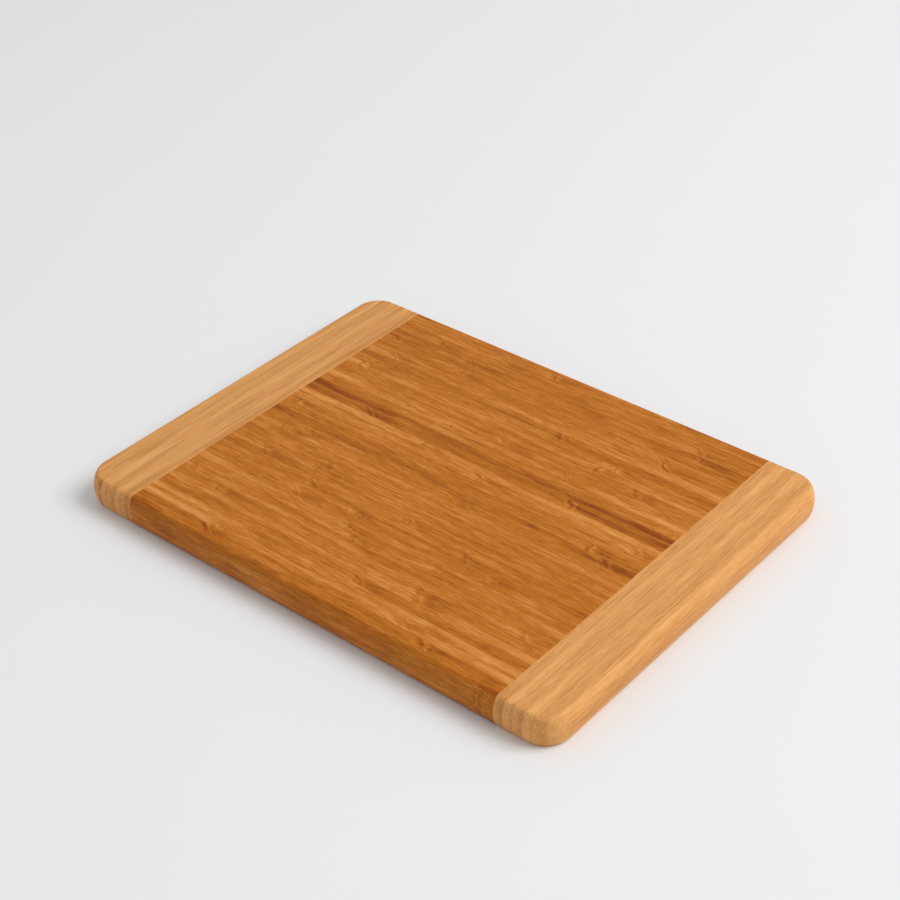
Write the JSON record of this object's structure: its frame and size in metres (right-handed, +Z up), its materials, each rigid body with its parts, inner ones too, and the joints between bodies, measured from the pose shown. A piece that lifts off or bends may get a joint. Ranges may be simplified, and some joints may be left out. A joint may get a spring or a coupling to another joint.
{
  "type": "cutting board",
  "caption": "Flat rectangular bamboo cutting board: a carbonised panel of strips on edge between pale end bars, with rounded corners and a bullnose edge all round.",
  "frame": {"origin": "centre of the underside, on the surface that the board lies on", "axes": "+X along the board's length towards the narrower end bar, +Y across it, +Z up out of the cutting face"},
  "size_m": [0.33, 0.248, 0.019],
  "materials": {
    "carbonised_bamboo": "oiled satin, orange-brown, long dark and light fibres",
    "natural_bamboo": "oiled satin, light tan, fine straight fibres",
    "dowel_wood": "bare turned hardwood"
  },
  "bodies": {
    "root": {"panel_strip_01": "carbonised_bamboo", "panel_strip_02": "carbonised_bamboo", "panel_strip_03": "carbonised_bamboo", "panel_strip_04": "carbonised_bamboo", "panel_strip_05": "carbonised_bamboo", "panel_strip_06": "carbonised_bamboo", "panel_strip_07": "carbonised_bamboo", "panel_strip_08": "carbonised_bamboo", "panel_strip_09": "carbonised_bamboo", "panel_strip_10": "carbonised_bamboo", "panel_strip_11": "carbonised_bamboo", "panel_strip_12": "carbonised_bamboo", "panel_strip_13": "carbonised_bamboo", "panel_strip_14": "carbonised_bamboo", "panel_strip_15": "carbonised_bamboo", "panel_strip_16": "carbonised_bamboo", "panel_strip_17": "carbonised_bamboo", "panel_strip_18": "carbonised_bamboo", "panel_strip_19": "carbonised_bamboo", "panel_strip_20": "carbonised_bamboo", "panel_strip_21": "carbonised_bamboo", "panel_strip_22": "carbonised_bamboo", "panel_strip_23": "carbonised_bamboo", "panel_strip_24": "carbonised_bamboo", "panel_strip_25": "carbonised_bamboo", "panel_strip_26": "carbonised_bamboo", "panel_strip_27": "carbonised_bamboo", "panel_strip_28": "carbonised_bamboo", "panel_strip_29": "carbonised_bamboo", "panel_strip_30": "carbonised_bamboo", "panel_strip_31": "carbonised_bamboo", "panel_strip_32": "carbonised_bamboo", "panel_strip_33": "carbonised_bamboo", "panel_strip_34": "carbonised_bamboo", "panel_strip_35": "carbonised_bamboo", "panel_strip_36": "carbonised_bamboo", "panel_strip_37": "carbonised_bamboo", "panel_strip_38": "carbonised_bamboo", "panel_strip_39": "carbonised_bamboo", "panel_strip_40": "carbonised_bamboo", "panel_strip_41": "carbonised_bamboo", "panel_strip_42": "carbonised_bamboo", "left_bar_strip_1": "natural_bamboo", "left_bar_strip_2": "natural_bamboo", "left_bar_strip_3": "natural_bamboo", "left_bar_strip_4": "natural_bamboo", "left_bar_strip_5": "natural_bamboo", "left_bar_strip_6": "natural_bamboo", "left_bar_strip_7": "natural_bamboo", "right_bar_strip_1": "natural_bamboo", "right_bar_strip_2": "natural_bamboo", "right_bar_strip_3": "natural_bamboo", "right_bar_strip_4": "natural_bamboo", "right_bar_strip_5": "natural_bamboo", "right_bar_strip_6": "natural_bamboo", "left_dowels": "dowel_wood", "right_dowels": "dowel_wood"}
  },
  "joints": []
}
